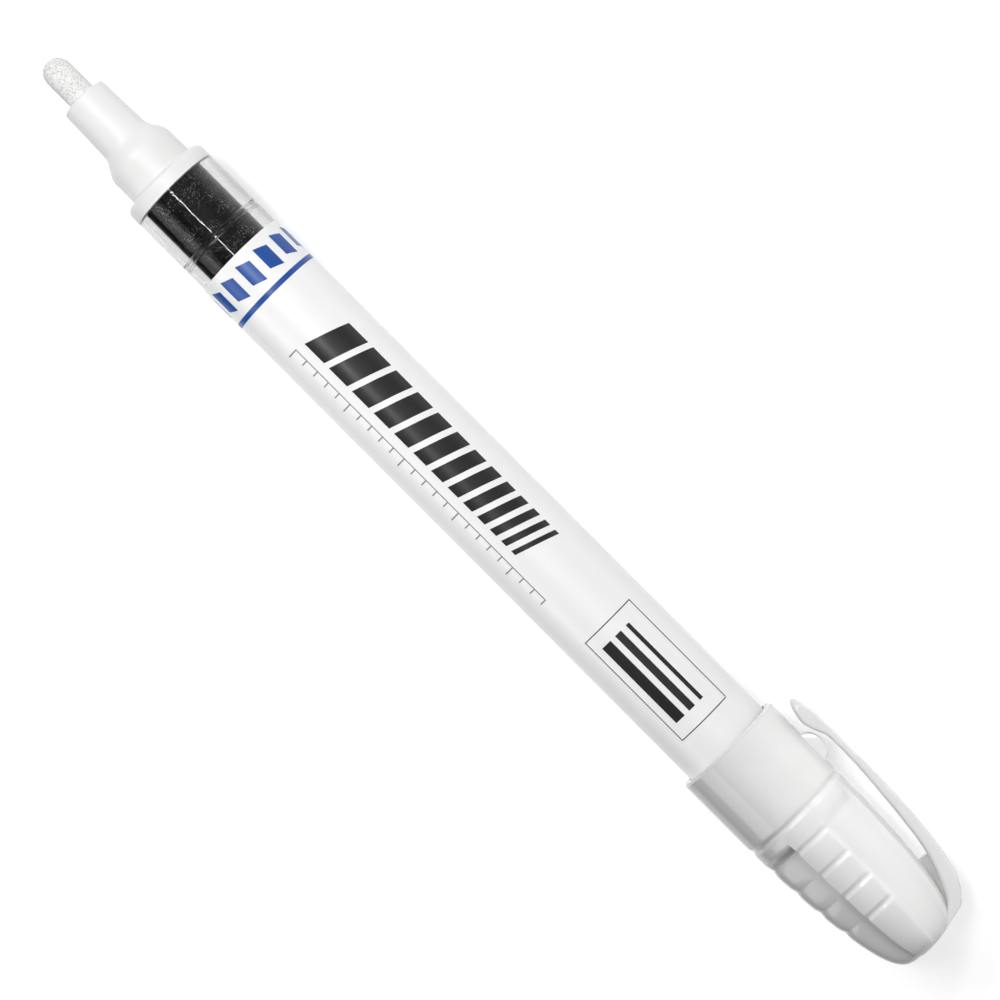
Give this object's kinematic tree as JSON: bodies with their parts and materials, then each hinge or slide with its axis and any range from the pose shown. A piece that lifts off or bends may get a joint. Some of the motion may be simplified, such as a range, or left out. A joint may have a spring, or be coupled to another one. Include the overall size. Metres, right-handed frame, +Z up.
{
  "type": "paint marker",
  "caption": "Valve-action paint marker with a bullet nib, clear barrel, white label, spring-loaded valve, mixing ball and a clip cap posted on its rear end.",
  "frame": {"origin": "middle of the bounding box at its bottom, on the surface that the marker lies on", "axes": "+X along the barrel towards the nib, +Z up, the clip on the -Y side and 34.2 degrees below level"},
  "size_m": [0.1562, 0.0172, 0.0149],
  "materials": {
    "white_plastic": "moulded gloss",
    "satin_plastic": "moulded satin",
    "clear_plastic": "clear gloss",
    "label_film": "smooth film",
    "black_plastic": "satin",
    "natural_plastic": "satin",
    "nib_fibre": "bonded fibre",
    "black_rubber": "smooth",
    "spring_steel": "drawn wire",
    "polished_steel": "polished"
  },
  "bodies": {
    "barrel": {"barrel_tube": "clear_plastic", "label_sleeve": "label_film", "nose_cone": "satin_plastic", "valve_housing": "black_plastic", "seat_ring": "black_rubber", "spring_retainer": "natural_plastic", "housing_o_ring": "black_rubber", "rear_plug": "natural_plastic", "plug_o_ring": "black_rubber"},
    "nib": {"nib": "nib_fibre", "valve_stem": "natural_plastic", "valve_spring": "spring_steel"},
    "agitator": {"agitator_ball": "polished_steel"},
    "cap": {"cap_shell": "white_plastic", "cap_liner": "natural_plastic"},
    "clip": {"pocket_clip": "white_plastic"}
  },
  "joints": [
    {"name": "cap_pull", "type": "slide", "parent": "barrel", "child": "cap", "axis": [-1, 0, 0], "range_m": [0, 0.03]},
    {"name": "nib_press", "type": "slide", "parent": "barrel", "child": "nib", "axis": [-1, 0, 0], "range_m": [0, 0.0015], "stiffness_N_per_m": 1000, "springref_m": -0.0015, "deforming": ["valve_spring"]},
    {"name": "agitator_slide", "type": "slide", "parent": "barrel", "child": "agitator", "axis": [-1, 0, 0], "range_m": [0, 0.0776]},
    {"name": "clip_flex", "type": "hinge", "parent": "cap", "child": "clip", "pos_m": [-0.06935, -0.00692, 0.00197], "axis": [0, 0.5619, -0.8272], "range_deg": [0, 7], "stiffness_Nm_per_rad": 0.3}
  ]
}
